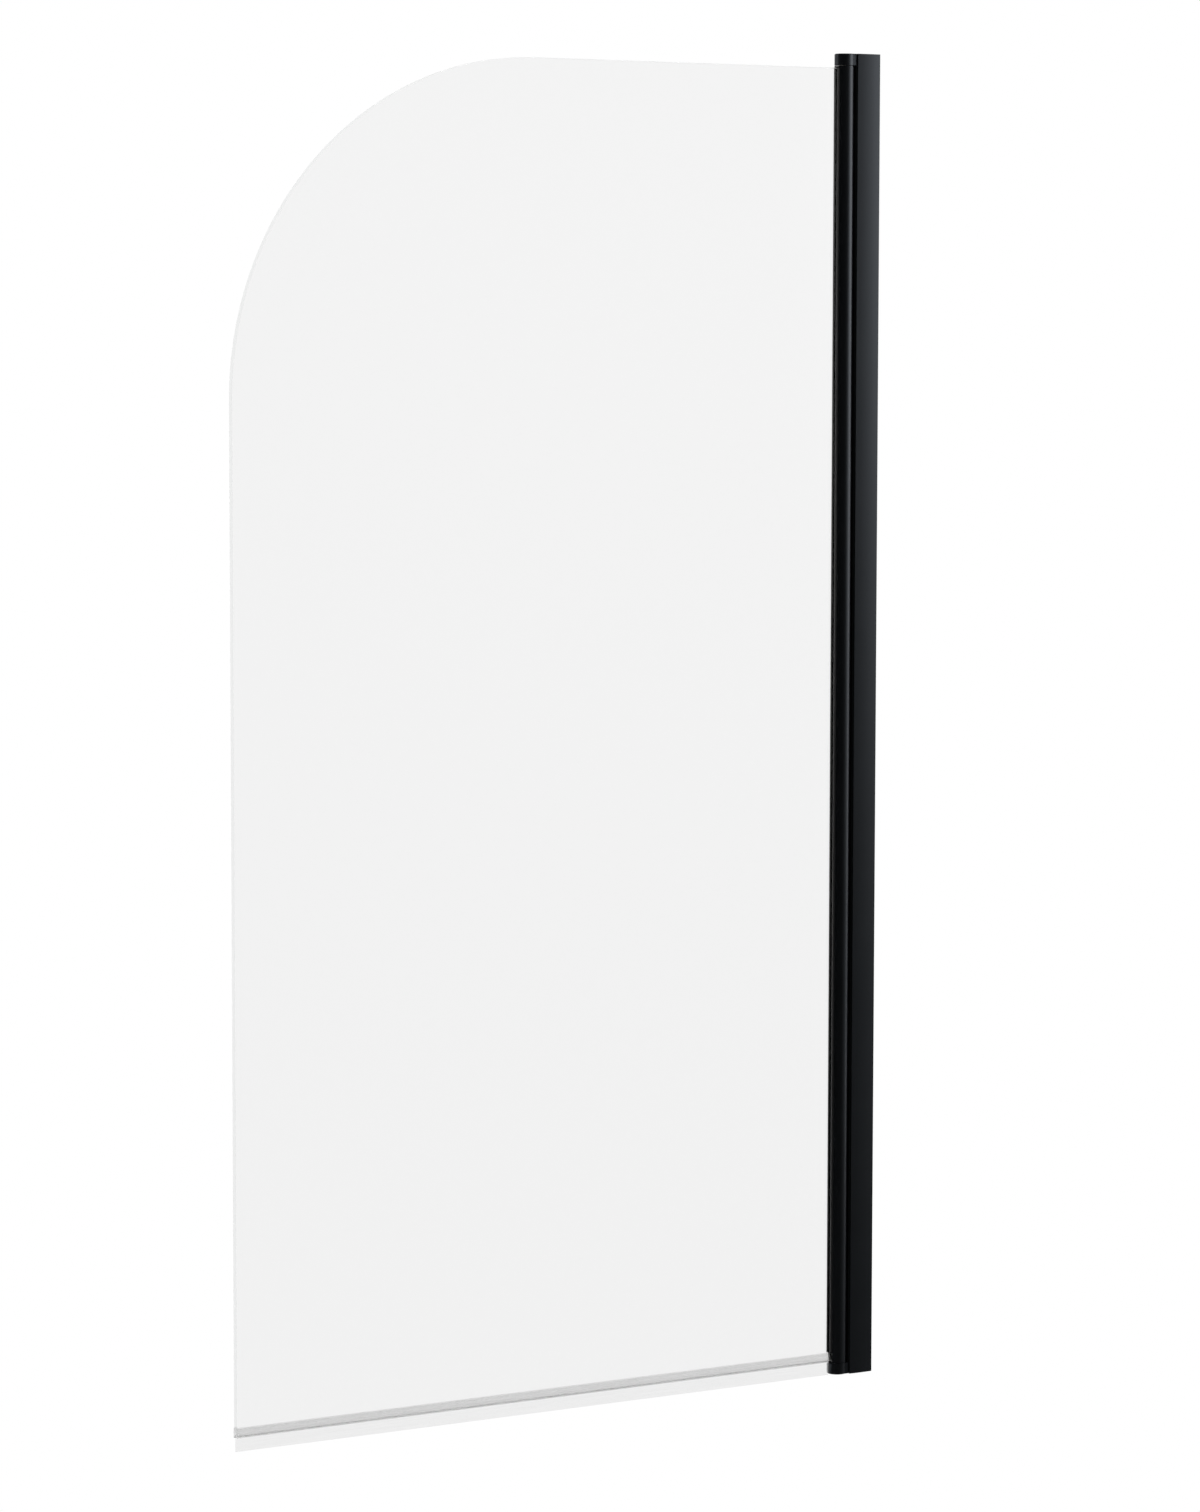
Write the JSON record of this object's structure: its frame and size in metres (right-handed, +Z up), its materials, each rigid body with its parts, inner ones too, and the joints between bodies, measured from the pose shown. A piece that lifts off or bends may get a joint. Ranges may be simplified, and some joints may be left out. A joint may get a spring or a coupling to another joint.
{
  "type": "bath screen",
  "caption": "Pivoting glass bath screen with one large rounded top corner, a black round pivot column, a slim black wall channel and a clear bottom seal.",
  "frame": {"origin": "wall plane, glass mid-plane, lower end of the wall profile, which stands on the bath rim", "axes": "+X into the wall, -X along the closed glass to its free edge, -Y the face seen in the picture, +Z up"},
  "size_m": [0.755, 0.0283, 1.401],
  "materials": {
    "black_profile": "satin black powder coat on extruded aluminium",
    "black_block": "satin black powder coat on die-cast zinc",
    "black_rubber": "matt extruded rubber",
    "toughened_glass": "clear, ground edges",
    "clear_vinyl": "clear flexible extrusion",
    "stainless_steel": "turned",
    "washer_plastic": "low-friction plastic",
    "bush_nylon": "moulded nylon",
    "black_plastic": "moulded, fine matt"
  },
  "bodies": {
    "wall_channel": {"wall_profile": "black_profile"},
    "hinge_post_assembly": {"hinge_post": "black_profile", "post_seal": "black_rubber", "bottom_pivot_block": "black_block", "top_pivot_block": "black_block", "bottom_pivot_pin": "stainless_steel", "top_pivot_pin": "stainless_steel", "bottom_thrust_washer": "washer_plastic", "top_thrust_washer": "washer_plastic", "bottom_block_screws": "stainless_steel", "top_block_screws": "stainless_steel", "fixing_screws": "stainless_steel", "fixing_cup_washers": "black_plastic", "fixing_screw_caps": "black_plastic"},
    "glass_door": {"pivot_column": "black_profile", "glazing_gasket": "black_rubber", "glass_panel": "toughened_glass", "bottom_seal": "clear_vinyl", "bottom_bush": "bush_nylon", "top_bush": "bush_nylon"}
  },
  "joints": [
    {"name": "width_adjustment", "type": "slide", "parent": "wall_channel", "child": "hinge_post_assembly", "axis": [-1, 0, 0], "range_m": [0, 0.01]},
    {"name": "door_pivot", "type": "hinge", "parent": "hinge_post_assembly", "child": "glass_door", "pos_m": [-0.03775, 0, 0], "axis": [0, 0, 1], "range_deg": [-90, 90]}
  ]
}
